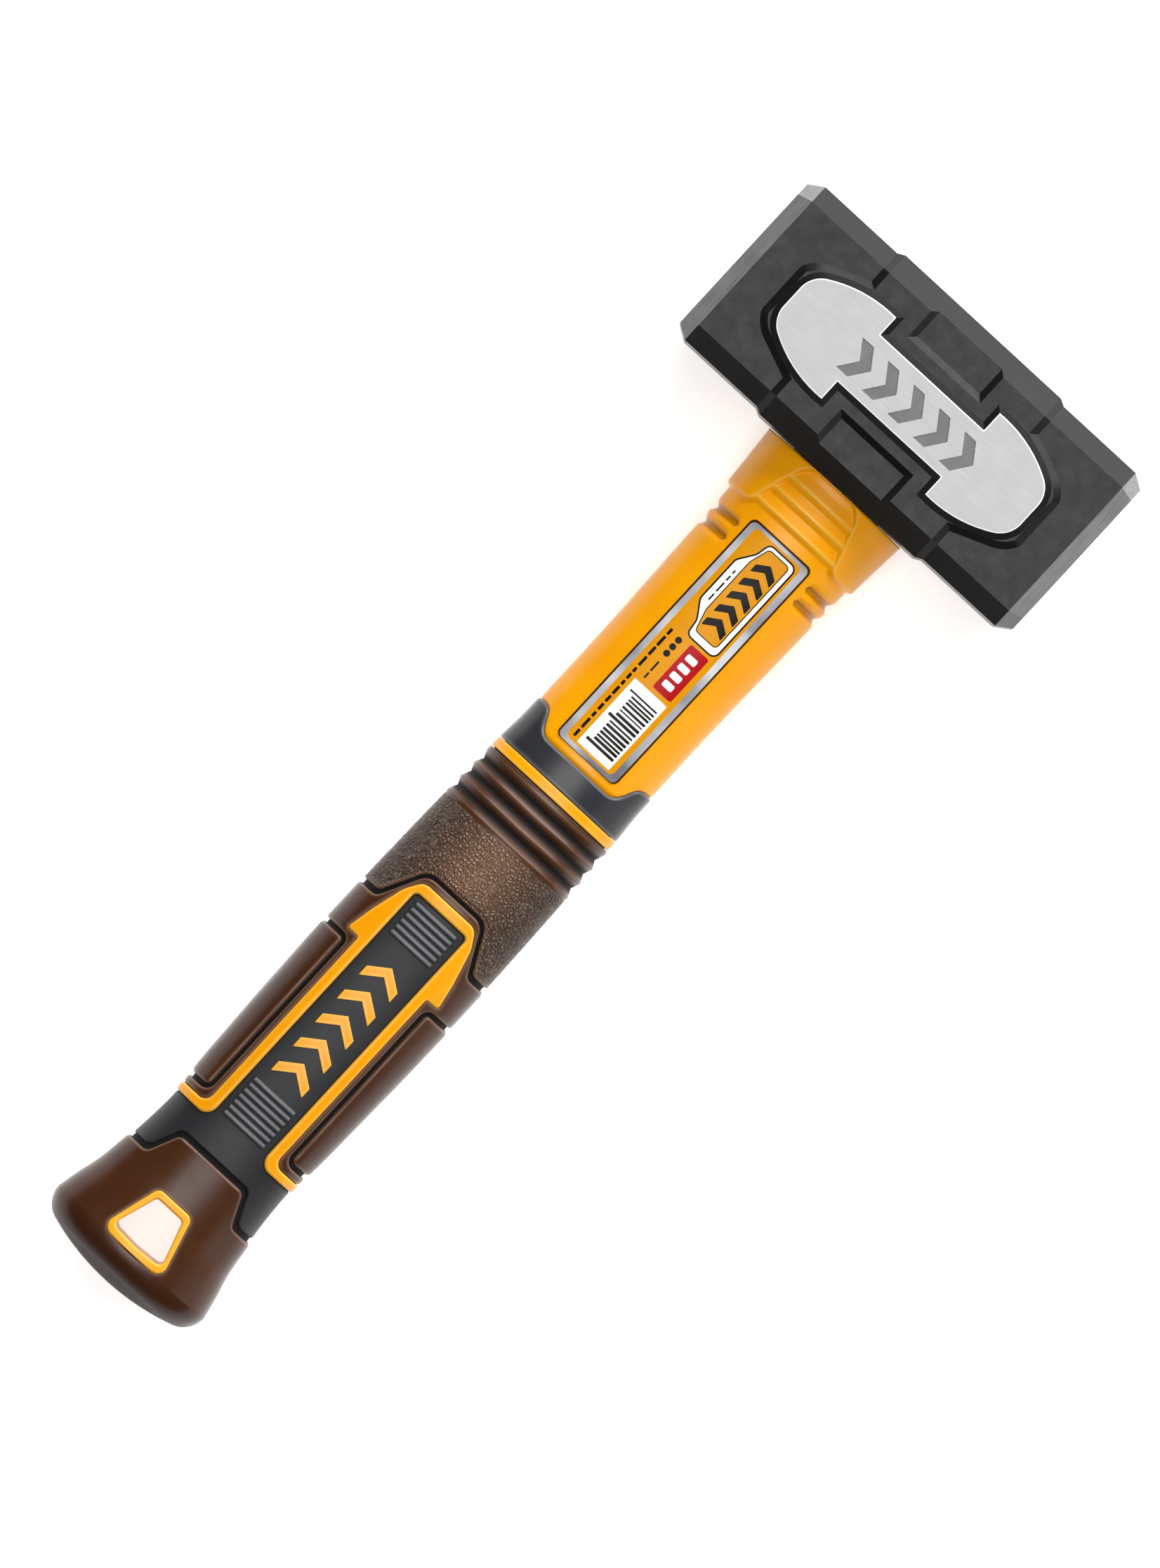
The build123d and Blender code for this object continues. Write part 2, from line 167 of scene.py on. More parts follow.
def cap_edge(gap=0.0):
    """The butt cap's upper edge, or the far side of the groove above it."""
    half = [(FAR, -10, 0), (FAR, 28.4 + gap, 0), (13.5 + gap / 2, 28.4 + gap, 1.7)]
    return mirrored(half + [(9.9 + gap / 2, 36.3 + gap, 2.2)])


def frame_edge():
    """The bright frame's outer edge, arched at the top, with feet out to the handle's sides."""
    half = [(FAR, 43.2, 0), (FAR, 45.6, 0), (10.7, 45.6, 2.3), (10.7, 96.8, 0.5), (14.2, 96.8, 0.8)]
    return mirrored(half + [(12.9, 103.5, 20.0), (10.6, 112.0, 9.0), (7.9, 116.3, 3.0)])


def grey_edge():
    """The bright frame's inner edge, with everything inside and below it."""
    return mirrored([(FAR, 20.0, 0), (FAR, 43.2, 0), (8.05, 43.2, 3.2), (8.05, 113.4, 1.3)])


def arch_edge(gap=0.0):
    """The lower grip's arched top edge, or the far side of the groove above it."""
    half = [(FAR, 45.6, 0), (FAR, 106.5 + gap, 0), (14.4 + gap / 3, 106.5 + gap, 1.9)]
    return mirrored(half + [(8.4 + gap / 3, 118.1 + 0.6 * gap, 4.0)])


def pad_edge(side, grow=0.0):
    """One side pad's edge, or its groove's when grown."""
    inner, low, high = 13.1 - grow, 48.6 - grow, 94.4 + grow
    corners = [(inner, low, 1.4 + grow), (FAR, low, 0), (FAR, high, 0), (inner, high, 1.2 + grow)]
    return rounded([(side * x, s, r) for x, s, r in corners])


def eyelet_edge(wall):
    """The hanging hole, or the eyelet's outer edge when the wall is added."""
    low, high = 11.0 - wall, 22.1 + wall
    half = [(0, low - 0.5, 30.0), (7.5 + wall * 0.9, low, 1.4 + wall / 2)]
    return mirrored(half + [(3.9 + wall * 0.6, high, 1.0 + wall / 2)])


def collar_edge():
    """The collar's outline, scooped down at the front and back."""
    return mirrored([(FAR, RING_HIGH, 0), (FAR, 165.2, 0), (14.1, 165.2, 3.2), (11.2, 159.1, 3.8)])


def doorway_edge():
    """The arched opening in the jacket's shoulder, which spreads into the handle below it."""
    half = [(FAR, 140, 0), (FAR, 229.6, 0), (12.6, 229.6, 1.4), (11.2, 230.6, 1.4), (7.4, 243.4, 5.0)]
    return mirrored(half + [(5.4, 245.0, 1.6)])


# ---------------------------------------------------------------- skins


def smooth(stations):
    """Smooth half width and half depth functions through the listed stations."""
    table = np.array(stations, float)
    s, values = table[:, 0], table[:, 1:]
    slopes = np.gradient(values, s, axis=0)

    def at(station):
        k = np.clip(np.searchsorted(s, station) - 1, 0, len(s) - 2)
        gap = s[k + 1] - s[k]
        t = ((station - s[k]) / gap)[:, None]
        gap = gap[:, None]
        low = (1 + 2 * t) * (1 - t) ** 2 * values[k] + t * (1 - t) ** 2 * gap * slopes[k]
        high = t * t * (3 - 2 * t) * values[k + 1] + t * t * (t - 1) * gap * slopes[k + 1]
        return (low + high).T

    return at


def lip(distance, radius):
    """How far a rounded edge falls below the surface near it."""
    share = np.clip(distance / radius, 0, 1)
    return radius * (np.sqrt(np.clip(1 - (1 - share) ** 2, 0, 1)) - 1)


def ramp(value, low, high):
    """0 below low, 1 above high and smooth between."""
    t = np.clip((value - low) / (high - low), 0, 1)
    return t * t * (3 - 2 * t)


class Skin:
    """A fine triangle mesh with named values at its points, kept in step with it as it is cut."""

    def __init__(self, base, closed):
        """Takes a grid of points, rows along the handle, closed round it or open."""
        rows, columns = base.shape[:2]
        if closed:
            around = np.roll(base, -1, axis=1) - np.roll(base, 1, axis=1)
        else:
            around = np.gradient(base, axis=1)
        normal = np.cross(np.gradient(base, axis=0), around)
        normal /= np.linalg.norm(normal, axis=2, keepdims=True)
        self.values = {"base": base.reshape(-1, 3), "normal": normal.reshape(-1, 3)}
        self.values["x"] = self["base"][:, 0].copy()
        self.values["s"] = self["base"][:, 1] - BUTT_Y
        self.values["z"] = self["base"][:, 2] - AXIS_Z
        self.triangles = self.grid_triangles(rows, columns, closed)
        self.ink = np.zeros(len(self.triangles), int)
        self.lips = []

    @staticmethod
    def grid_triangles(rows, columns, closed):
        """Triangles of a grid of points, with alternating diagonals."""
        across = columns if closed else columns - 1
        r, c = np.meshgrid(np.arange(rows - 1), np.arange(across), indexing="ij")
        a, b = r * columns + c, r * columns + (c + 1) % columns
        d, e = a + columns, b + columns
        even = ((r + c) % 2 == 0).reshape(-1, 1)
        a, b, d, e = (v.reshape(-1) for v in (a, b, d, e))
        one = np.where(even, np.stack([a, e, b], 1), np.stack([a, d, b], 1))
        two = np.where(even, np.stack([a, d, e], 1), np.stack([d, e, b], 1))
        return np.concatenate([one, two])

    def __getitem__(self, name):
        return self.values[name]

    def __setitem__(self, name, value):
        self.values[name] = value

    def measure(self, name, outline, outside=False):
        """Keeps the distance to an outline as a named value."""
        distance = inside(self["x"], self["s"], outline)
        self.values[name] = -distance if outside else distance

    def keep(self, chosen):
        """Keeps the chosen triangles and the points that they use."""
        self.triangles, self.ink = self.triangles[chosen], self.ink[chosen]
        used, flat = np.unique(self.triangles, return_inverse=True)
        self.triangles = flat.reshape(-1, 3)
        self.values = {name: value[used] for name, value in self.values.items()}

    def cut(self, name, level):
        """Splits every triangle that a level of a value crosses, so that edges run along it."""
        value = self.values[name] - level
        value = np.where(np.abs(value) < 1e-4, 1e-4, value)
        above = (value > 0)[self.triangles]
        mixed = above.any(1) & ~above.all(1)
        if not mixed.any():
            return
        tri, flags, ink = self.triangles[mixed], above[mixed], self.ink[mixed]
        lone = np.argmax(flags == (flags.sum(1) == 1)[:, None], axis=1)
        rows = np.arange(len(tri))
        a, b, c = tri[rows, lone], tri[rows, (lone + 1) % 3], tri[rows, (lone + 2) % 3]
        pairs = np.sort(np.concatenate([np.stack([a, b], 1), np.stack([a, c], 1)]), axis=1)
        edges, where = np.unique(pairs, axis=0, return_inverse=True)
        where = where.reshape(-1) + len(value)
        share = value[edges[:, 0]] / (value[edges[:, 0]] - value[edges[:, 1]])
        for key, old in self.values.items():
            weight = share if old.ndim == 1 else share[:, None]
            fresh = old[edges[:, 0]] * (1 - weight) + old[edges[:, 1]] * weight
            self.values[key] = np.concatenate([old, fresh])
        p, q = where[: len(tri)], where[len(tri) :]
        fresh = [np.stack(corners, 1) for corners in ((a, p, q), (p, b, c), (p, c, q))]
        self.triangles = np.concatenate([self.triangles[~mixed], *fresh])
        self.ink = np.concatenate([self.ink[~mixed], ink, ink, ink])

    def trim(self, name):
        """Throws away what is outside an outline."""
        self.cut(name, 0.0)
        self.keep(self.values[name][self.triangles].mean(1) > 0)

    def add_lip(self, name, radius):
        """Trims the skin at an edge that will be rounded, with the lines of points that it needs."""
        self.trim(name)
        for angle in LIP_ANGLES:
            self.cut(name, radius * (1 - math.cos(math.radians(angle))))
        self.lips.append((name, radius))

    def lip_height(self):
        return sum(lip(self[name], radius) for name, radius in self.lips)

    def rim(self):
        """1 at the nearest edge, falling to 0 inside it, or the wear value where that is higher: where a
        painted highlight goes.
        """
        nearest = [self[name] for name, _ in self.lips] or [np.full(len(self["x"]), EDGE_HIGHLIGHT_WIDTH)]
        wear_and_highlight = 1 - ramp(np.min(nearest, axis=0), 0.0, EDGE_HIGHLIGHT_WIDTH)
        return np.maximum(wear_and_highlight, self.values.get("wear", 0.0))

    def paint(self, outline, ink, inset=0.0):
        """Gives another ink to what lies inside an outline, split cleanly along it."""
        self.measure("print", outline)
        self.cut("print", inset)
        self.ink[self.values["print"][self.triangles].mean(1) > inset] = ink


def rows_between(low, high, extra=(), step=STEP):
    """Evenly spaced stations from low to high, with the extra ones added."""
    count = max(2, int(round((high - low) / step)) + 1)
    rows = np.concatenate([np.linspace(low, high, count), np.array(extra, float)])
    rows = np.unique(np.round(rows, 3))
    return rows[(rows >= low - 1e-6) & (rows <= high + 1e-6)]


def oval_skin(stations, half_width, half_depth, columns=COLUMNS):
    """A skin of ovals, with its points spread evenly round the handle."""
    angle = np.linspace(0, 2 * np.pi, 4001)
    power = 2 / SQUARENESS
    across = np.sign(np.cos(angle)) * np.abs(np.cos(angle)) ** power
    up = np.sign(np.sin(angle)) * np.abs(np.sin(angle)) ** power
    run = np.concatenate([[0], np.cumsum(np.hypot(np.diff(across), 0.78 * np.diff(up)))])
    even = np.arange(columns) / columns * run[-1]
    base = np.empty((len(stations), columns, 3))
    base[..., 0] = half_width[:, None] * np.interp(even, run, across)
    base[..., 1] = BUTT_Y + stations[:, None]
    base[..., 2] = AXIS_Z + half_depth[:, None] * np.interp(even, run, up)
    return Skin(base, True)


def form_skin(form, low, high, extra=(), step=STEP, columns=COLUMNS):
    rows = rows_between(low, high, extra, step)
    return oval_skin(rows, *smooth(form)(rows), columns)


def patch_skin(form, low, high, half, across_step, extra=(), step=STEP):
    """A skin over the front of the handle only, on an even grid."""
    rows = rows_between(low, high, extra, step)
    half_width, half_depth = smooth(form)(rows)
    x = np.linspace(half, -half, int(2 * half / across_step) + 1)
    base = np.empty((len(rows), len(x), 3))
    base[..., 0] = x
    base[..., 1] = BUTT_Y + rows[:, None]
    share = 1 - np.abs(x / half_width[:, None]) ** SQUARENESS
    base[..., 2] = AXIS_Z + half_depth[:, None] * share ** (1 / SQUARENESS)
    return Skin(base, False)


# ---------------------------------------------------------------- meshes


def closed_mesh(name, skin, outer, inner):
    """An object from an outer skin, the skin inside it and the walls between their edges."""
    triangles, count = skin.triangles, len(outer)
    edges = np.concatenate([triangles[:, [0, 1]], triangles[:, [1, 2]], triangles[:, [2, 0]]])
    _, where, times = np.unique(np.sort(edges, axis=1), axis=0, return_index=True, return_counts=True)
    rim = edges[where[times == 1]]
    owner = np.tile(np.arange(len(triangles)), 3)[where[times == 1]]
    one = np.stack([rim[:, 1], rim[:, 0], rim[:, 0] + count], 1)
    two = np.stack([rim[:, 1], rim[:, 0] + count, rim[:, 1] + count], 1)
    faces = np.concatenate([triangles, triangles[:, ::-1] + count, one, two])
    inks = np.concatenate([skin.ink, skin.ink, skin.ink[owner], skin.ink[owner]])
    points = np.concatenate([outer, inner]) * MM
    mesh = bpy.data.meshes.new(name)
    mesh.from_pydata(points.tolist(), [], faces.tolist())
    mesh.polygons.foreach_set("material_index", inks.astype(np.int32))
    drop = -np.sum((outer - skin["base"]) * skin["normal"], axis=1)
    # painted shade: darker the deeper a point lies below the form, and towards the butt end
    hollow_shade = np.maximum(ramp(drop, *HOLLOW_SHADE_DROPS), skin.values.get("soil", 0.0))
    for key, values in {"rim": skin.rim(), "hollow_shade": hollow_shade}.items():
        layer = mesh.attributes.new(key, "FLOAT", "POINT")
        layer.data.foreach_set("value", np.tile(values, 2).astype(np.float32))
    mesh.shade_smooth()
    mesh.update()
    return link(bpy.data.objects.new(name, mesh))


def link(obj):
    bpy.context.scene.collection.objects.link(obj)
    return obj


def skin_piece(name, skin, height, thickness):
    """A closed piece from a skin, raised by the height along its normals."""
    outer = skin["base"] + skin["normal"] * (np.asarray(height) + np.zeros(len(skin["x"])))[:, None]
    return closed_mesh(name, skin, outer, skin["base"] - skin["normal"] * thickness)


def back_copy(obj, name):
    """The same piece on the other side of the hammer."""
    mesh = obj.data.copy()
    to_axis = Matrix.Translation((0, 0, AXIS_Z * MM))
    mesh.transform(to_axis @ Matrix.Scale(-1, 4, (0, 0, 1)) @ to_axis.inverted())
    mesh.flip_normals()
    mesh.name = name
    return link(bpy.data.objects.new(name, mesh))


# ---------------------------------------------------------------- grip pieces

GROOVE_FLOOR = -0.9  # height of the core's skin where it is the floor of a groove
BUTT_SHADE_REACH = 6.5  # how far up from the butt end the painted shade reaches, darker and duller towards the end
BUTT_SHADE_DEPTH = 0.75  # how dark and dull the painted shade is at the very end
THICKNESS = 2.3


def make_butt_cap():
    """The flared rubber butt: a shallow dome, a round corner and sides up to its shaped edge."""
    widest, corner, dome, corner_radius = 8.8, 16.2, 60.0, 6.3
    sweep = np.linspace(0.02, 16.6, 36)
    domed = np.stack([dome - np.sqrt(dome**2 - sweep**2), sweep], 1)
    angles = np.radians(np.linspace(-78, 0, 24))
    turned = np.stack([np.sin(angles), np.cos(angles)], 1) * corner_radius + (widest, corner)
    upper = rows_between(widest + STEP, 37.0)
    width, depth = smooth(GRIP_FORM)(upper)
    rows = np.concatenate([domed, turned, np.stack([upper, width], 1)])
    flatness = np.concatenate([np.full(len(domed) + len(turned), 17.0 / 22.5), depth / width])
    skin = oval_skin(rows[:, 0], rows[:, 1], rows[:, 1] * flatness)
    skin.measure("edge", cap_edge())
    skin.measure("hole", eyelet_edge(1.9), outside=True)
    skin.add_lip("edge", 1.0)
    skin.add_lip("hole", 0.35)
    # painted shade: the rubber is darker and duller towards the butt end
    skin["soil"] = BUTT_SHADE_DEPTH * ramp(BUTT_SHADE_REACH - skin["s"], 0.0, BUTT_SHADE_REACH)
    return skin_piece("butt_cap_shell", skin, skin.lip_height(), THICKNESS)


def make_eyelet():
    """The eyelet that lines the hanging hole, with the same rim at the front and the back."""
    skin = form_skin(GRIP_FORM, 8.8, 25.5, step=0.3)
    skin.keep(skin["z"][skin.triangles].min(1) > 0)
    skin.measure("outer", eyelet_edge(2.0))
    skin.measure("hole", eyelet_edge(0), outside=True)
    skin.add_lip("outer", 0.6)
    skin.add_lip("hole", 0.6)
    outer = skin["base"] + skin["normal"] * (0.35 + skin.lip_height())[:, None]
    inner = outer.copy()
    inner[:, 2] = 2 * AXIS_Z - inner[:, 2]
    return closed_mesh("eyelet_liner", skin, outer, inner)


RIDGE_PITCH = 1.68
RIDGE_GROUPS = ((103.0, 6), (47.0, 7))
RIDGE_HALF = 6.35
RIDGE_RISE = 0.45
RIDGE_FOOT = 0.55  # half the width of a ridge where it meets the window
RIDGE_RUN = 0.35  # how far in from its end a ridge reaches its full height
WINDOW_DROP = 0.4
BODY_TOP = RING_LOW + 1.2  # the core runs on a little way under the trim ring
BODY_STEP = 2.6
BODY_COLUMNS = 140
BODY_FINE = ((BODY_LOW, 46.0), (112.0, 117.0), (RING_LOW - 0.5, BODY_TOP))  # where its rows are closer
BODY_FINE_STEP = 0.6


def make_grip_body():
    """The grey core of the grip, with the ridges in its window and the floor of every groove, painted dark
    as shade.
    """
    middles = [start + k * RIDGE_PITCH for start, count in RIDGE_GROUPS for k in range(count)]
    extra = [middle + RIDGE_PITCH * k / 8 for middle in middles for k in range(-4, 5)]
    for low, high in BODY_FINE:
        extra += list(rows_between(low, high, step=BODY_FINE_STEP))
    skin = form_skin(GRIP_FORM, BODY_LOW, BODY_TOP, extra, BODY_STEP, BODY_COLUMNS)
    skin["ridge_side"] = RIDGE_HALF - np.abs(skin["x"])
    for level in (0.0, RIDGE_RUN):
        skin.cut("ridge_side", level)
    skin.measure("shown", grey_edge())
    skin["shown"] = np.minimum(skin["shown"], -inside(skin["x"], skin["s"], cap_edge(1.2)))
    for level in (-0.04, 0.0, 0.05, 0.15, 0.3, 0.45):
        skin.cut("shown", level)
    ridge = np.zeros(len(skin["s"]))
    for middle in middles:
        across = (skin["s"] - middle) / RIDGE_FOOT
        ridge = np.maximum(ridge, np.sqrt(np.clip(1 - across**2, 0, 1)))
    ridge *= RIDGE_RISE * ramp(skin["ridge_side"], 0.0, RIDGE_RUN)
    shown = skin["shown"]
    # painted highlight on the ridge tops
    skin["wear"] = np.clip(ridge / RIDGE_RISE, 0, 1) ** 2
    height = np.where(shown >= 0, ridge - WINDOW_DROP + lip(shown, 0.45), GROOVE_FLOOR)
    # painted shade: the groove floor gets the near-black groove rubber
    skin.ink[shown[skin.triangles].mean(1) < 0] = 1
    return skin_piece("grip_body_shell", skin, height, THICKNESS + 0.4)


def make_marks():
    """Plain chevrons let into the grey window."""
    start, pitch, count = 61.0, 7.4, 5
    skin = patch_skin(GRIP_FORM, start - 1, start + count * pitch + 1, 5.5, 0.25, step=0.25)
    marks = [chevron(0, start + k * pitch, 4.8, 3.4, 2.8) for k in range(count)]
    skin["edge"] = np.max([inside(skin["x"], skin["s"], mark) for mark in marks], axis=0)
    skin.add_lip("edge", 0.12)
    return skin_piece("front_marks", skin, 0.15 - WINDOW_DROP + skin.lip_height(), WINDOW_DROP + 0.3)


def make_trim_frame():
    skin = form_skin(GRIP_FORM, 42.5, 117.5)
    skin.measure("outer", frame_edge())
    skin.measure("inner", grey_edge(), outside=True)
    skin.add_lip("outer", 0.6)
    skin.add_lip("inner", 0.6)
    return skin_piece("trim_frame_shell", skin, 0.12 + skin.lip_height(), THICKNESS)


def make_grip_frame():
    """The rubber round the bright frame, with the grooves that the side pads sit in."""
    skin = form_skin(GRIP_FORM, 45.0, 119.5)
    skin.measure("arch", arch_edge())
    skin.measure("frame", frame_edge(), outside=True)
    skin.measure("groove", pad_edge(1, 1.05))
    skin["groove"] = -np.maximum(skin["groove"], inside(skin["x"], skin["s"], pad_edge(-1, 1.05)))
    skin.add_lip("arch", 0.8)
    skin.add_lip("frame", 0.25)
    skin.add_lip("groove", 0.5)
    return skin_piece("grip_frame_shell", skin, skin.lip_height(), THICKNESS)


def make_side_pad(side, name):
    skin = form_skin(GRIP_FORM, 48.0, 95.0)
    skin.keep((side * skin["x"])[skin.triangles].min(1) > 0)
    skin.measure("edge", pad_edge(side))
    skin.add_lip("edge", 1.15)
    return skin_piece(name, skin, 0.2 + skin.lip_height(), THICKNESS)


SLEEVE_PEAKS = (135.5, 139.8, 144.2, 148.4)
SLEEVE_GROOVES = (137.8, 142.1, 146.2)
PEAK_HEIGHT, SLEEVE_FLOOR, GRAINED_HEIGHT = 0.1, -0.9, -0.15
MIDDLE_HIGHLIGHT_WIDTH = 9.0  # how far either side of the middle the painted highlight on the sleeve reaches
GRAIN_HIGH = 135.0
GRAIN_SIZE = 0.95
GRAIN_STRETCH = (1.0, 0.72, 1.0)
GRAIN_DEPTH = 0.08
CREASE_WIDTH = 0.45  # as a share of a pebble


def grain(points):
    """Pebbles of leather grain: 1 at the middle of a pebble and 0 in the creases between them."""
    stretch = Vector(GRAIN_STRETCH) / GRAIN_SIZE
    values = []
    for point in points:
        near, far = noise.voronoi(Vector(point) * stretch)[0][:2]
        values.append(min(1.0, (far - near) / CREASE_WIDTH))
    return np.array(values)


def make_grip_sleeve():
    """The grained sleeve, closed off by three deep rings."""
    low = 106.5 + 1.3
    turns = [(s, PEAK_HEIGHT) for s in SLEEVE_PEAKS] + [(s, SLEEVE_FLOOR) for s in SLEEVE_GROOVES]
    turns.sort()
    extra = [s + 0.15 * k for s, _ in turns for k in range(-2, 3)]
    skin = form_skin(GRIP_FORM, low, RING_LOW, extra, step=0.3)
    skin.measure("edge", arch_edge(1.3), outside=True)
    skin.add_lip("edge", 0.7)
    skin.paint(rectangle(-FAR, FAR, 90, GRAIN_HIGH - 0.4), 1)
    s, edge = skin["s"], skin["edge"]
    stations = [GRAIN_HIGH, *(s for s, _ in turns), RING_LOW]
    zigzag = np.interp(s, stations, [GRAINED_HEIGHT, *(rise for _, rise in turns), -0.05])
    zigzag = np.where(s < GRAIN_HIGH, GRAINED_HEIGHT, zigzag)
    grained = ramp(GRAIN_HIGH - s, 0.0, 0.8) * ramp(edge, 0.8, 1.6)
    # painted highlight: on the ring peaks, strongest in the middle, and over the middle of the grain
    near = np.min([np.abs(s - peak) for peak in SLEEVE_PEAKS], axis=0)
    middle_highlight = np.exp(-((skin["x"] / MIDDLE_HIGHLIGHT_WIDTH) ** 2))
    on_peaks = (1 - ramp(near, 0.2, 0.9)) * (0.25 + 0.75 * middle_highlight)
    skin["wear"] = np.maximum(on_peaks, 0.75 * middle_highlight * grained)
    height = skin.lip_height() + zigzag * ramp(edge, 0.3, 1.2)
    height += GRAIN_DEPTH * grained * grain(skin["base"])
    return skin_piece("grip_sleeve_shell", skin, height, THICKNESS)


def make_trim_ring():
    skin = form_skin(COLLAR_FORM, RING_LOW, RING_HIGH, step=0.2)
    skin["edge"] = np.minimum(skin["s"] - RING_LOW, RING_HIGH - skin["s"]) + 1e-3
    skin.add_lip("edge", 0.4)
    return skin_piece("trim_ring_shell", skin, 0.05 + skin.lip_height(), THICKNESS)


def make_collar():
    """The grey collar: a rounded, scooped edge above and a tight seat on the ring below."""
    skin = form_skin(COLLAR_FORM, RING_HIGH, COLLAR_HIGH, step=0.3)
    skin.measure("edge", collar_edge())
    skin["edge"] = np.where(skin["s"] < RING_HIGH + 4, 4.0, skin["edge"])
    skin["seat"] = skin["s"] - RING_HIGH + 1e-3
    skin.add_lip("seat", 0.35)
    skin.add_lip("edge", 0.9)
    return skin_piece("grip_collar_shell", skin, 0.08 + skin.lip_height(), 1.0)


JACKET_GROOVES = (220.3, 224.5)
GROOVE_DEPTH = 1.2
GROOVE_HALF = 1.6  # half the width of a groove at its mouth
GROOVE_START = 10.4  # distance from the handle's middle at which a groove runs out
GROOVE_ROWS = (-1.5, -1.2, -0.6, -0.2, 0, 0.2, 0.6, 1.2, 1.5)  # lines of points beside a groove's middle
TREAD_EDGES = ((232.4, 0.75), (236.8, 0.9), (241.0, 1.05))  # station and rise of each tread's high edge
TREAD_FEET = ((230.9, 0.0), (235.2, 0.1), (239.4, 0.2), (243.7, 0.3))
TREADS = sorted(TREAD_EDGES + TREAD_FEET)
SHOULDER_SLOPE = 1.2


def make_jacket():
    """The moulded handle: side grooves, then a shoulder whose arched doorway holds three treads."""
    extra = [middle + offset for middle in JACKET_GROOVES for offset in GROOVE_ROWS]
    extra += [s for s, _ in TREADS] + list(rows_between(229.0, JACKET_END, step=0.45))
    skin = form_skin(JACKET_FORM, RING_LOW + 0.2, JACKET_END, extra, step=1.3)
    skin.measure("door", doorway_edge(), outside=True)
    for level in (0.0, 0.1, 0.3, SHOULDER_SLOPE - 0.3, SHOULDER_SLOPE - 0.1, SHOULDER_SLOPE):
        skin.cut("door", level)
    skin.measure("collar", collar_edge(), outside=True)
    for level in (0.0, 0.12, 0.24, 0.36):
        skin.cut("collar", level)
    x, s, door = skin["x"], skin["s"], skin["door"]
    shoulder = (1.15 + 0.45 * (s - 229.0) / 17.0) * ramp(door, 0.0, SHOULDER_SLOPE)
    tread = np.interp(s, [at for at, _ in TREADS], [rise for _, rise in TREADS])
    edge_tread = tread * ramp(SHOULDER_SLOPE - door, 0.0, 0.4)
    height = np.where(door > 0, np.maximum(shoulder, edge_tread), tread)
    # painted highlight on the treads' high edges and along the doorway's edge
    nearest = np.min([np.abs(s - at) for at, _ in TREAD_EDGES], axis=0)
    tread_highlight = np.where(door < SHOULDER_SLOPE, 1 - ramp(nearest, 0.1, 0.8), 0.0)
    skin["wear"] = np.maximum(tread_highlight, 0.7 * (1 - ramp(np.abs(door - SHOULDER_SLOPE), 0.0, 0.5)))
    for middle in JACKET_GROOVES:
        away = np.abs(s - middle)
        runs = ramp(np.abs(x) - GROOVE_START - 0.4 * away, 0.0, 0.7)
        height -= GROOVE_DEPTH * np.clip(1 - away / GROOVE_HALF, 0, 1) * runs
    sunk = 0.3 + 0.5 * ramp(COLLAR_HIGH - 8 - s, 0.0, 3.0)  # under the collar, deepest in its middle
    height -= sunk * (1 - ramp(skin["collar"], 0.1, 0.35))
    return skin_piece("jacket_shell", skin, height, 1.0)


# ---------------------------------------------------------------- label

FILM, SILVER, BLACK, WHITE, RED, LINE = range(6)


def make_label():
    """The printed label: a silver border, a badge with a plain device, a red tag, bars and dashes."""
    low, high, half = 161.5, 228.4, 9.1
    rng = np.random.default_rng(4)
    bars = rows_of_marks(rng, 165.3, 180.8, (0.25, 0.75), (0.28, 0.6))
    extra = [s for bar in bars for s in bar]
    skin = patch_skin(JACKET_FORM, low - 0.3, high + 0.3, half + 0.2, 0.235, extra, step=0.23)
    skin.measure("edge", rectangle(-half, half, low, high, 1.6))
    skin.add_lip("edge", 0.12)
    skin.ink[:] = LINE
    skin.paint(rectangle(-8.6, 8.6, low + 0.15, high - 0.55, 1.4), SILVER)
    skin.paint(rectangle(-7.1, 6.95, 162.8, 227.0, 1.2), FILM)
    badge = rounded(
        [(6.3, 198.1, 1.9), (6.3, 226.4, 1.9), (-2.3, 226.4, 1.7), (-3.0, 222.6, 3.0), (-5.8, 218.4, 2.2)]
        + [(-5.8, 206.4, 2.2), (-3.0, 202.2, 3.0), (-2.5, 198.1, 1.7)]
    )
    skin.paint(badge, BLACK)
    skin.paint(badge, WHITE, inset=0.4)
    field = rounded(
        [(4.9, 200.1, 1.2), (4.9, 225.3, 1.2), (-1.5, 225.3, 1.2), (-3.0, 220.2, 1.8)]
        + [(-3.0, 205.4, 1.8), (-1.5, 200.1, 1.2)]
    )
    skin.paint(field, BLACK)
    skin.paint(field, FILM, inset=0.25)
    for k in range(5):
        skin.paint(chevron(1.4, 202.2 + 4.1 * k, 2.9, 1.9, 2.1), BLACK)
    skin.paint(rectangle(0.0, 5.5, 184.2, 197.3, 0.6), RED)
    for k in range(4):
        skin.paint(rectangle(1.1, 4.0, 185.9 + 2.6 * k, 187.6 + 2.6 * k, 0.4), WHITE)
    skin.paint(rectangle(-4.15, 5.6, 163.4, 183.0), WHITE)
    for k, (s_low, s_high) in enumerate(bars):
        reach = -3.2 if k in (0, len(bars) // 2, len(bars) - 1) else -1.9
        skin.paint(rectangle(reach, 4.95, s_low, s_high), BLACK)
    for k in range(3):
        middle = 196.0 - 2.0 * k
        skin.paint(rectangle(-3.5, -1.9, middle - 0.8, middle + 0.8, 0.75), BLACK)
    lines = ((-5.5, 0.36, 163.9, 197.0), (-2.7, 0.24, 184.4, 190.6), (-3.95, 0.2, 207.4, 217.4))
    for x, half_line, s_low, s_high in lines:
        for dash in rows_of_marks(rng, s_low, s_high, (0.8, 3.0), (0.45, 0.7)):
            skin.paint(rectangle(x - half_line, x + half_line, *dash), BLACK)
    return skin_piece("label_film", skin, 0.22 + skin.lip_height(), -0.02)


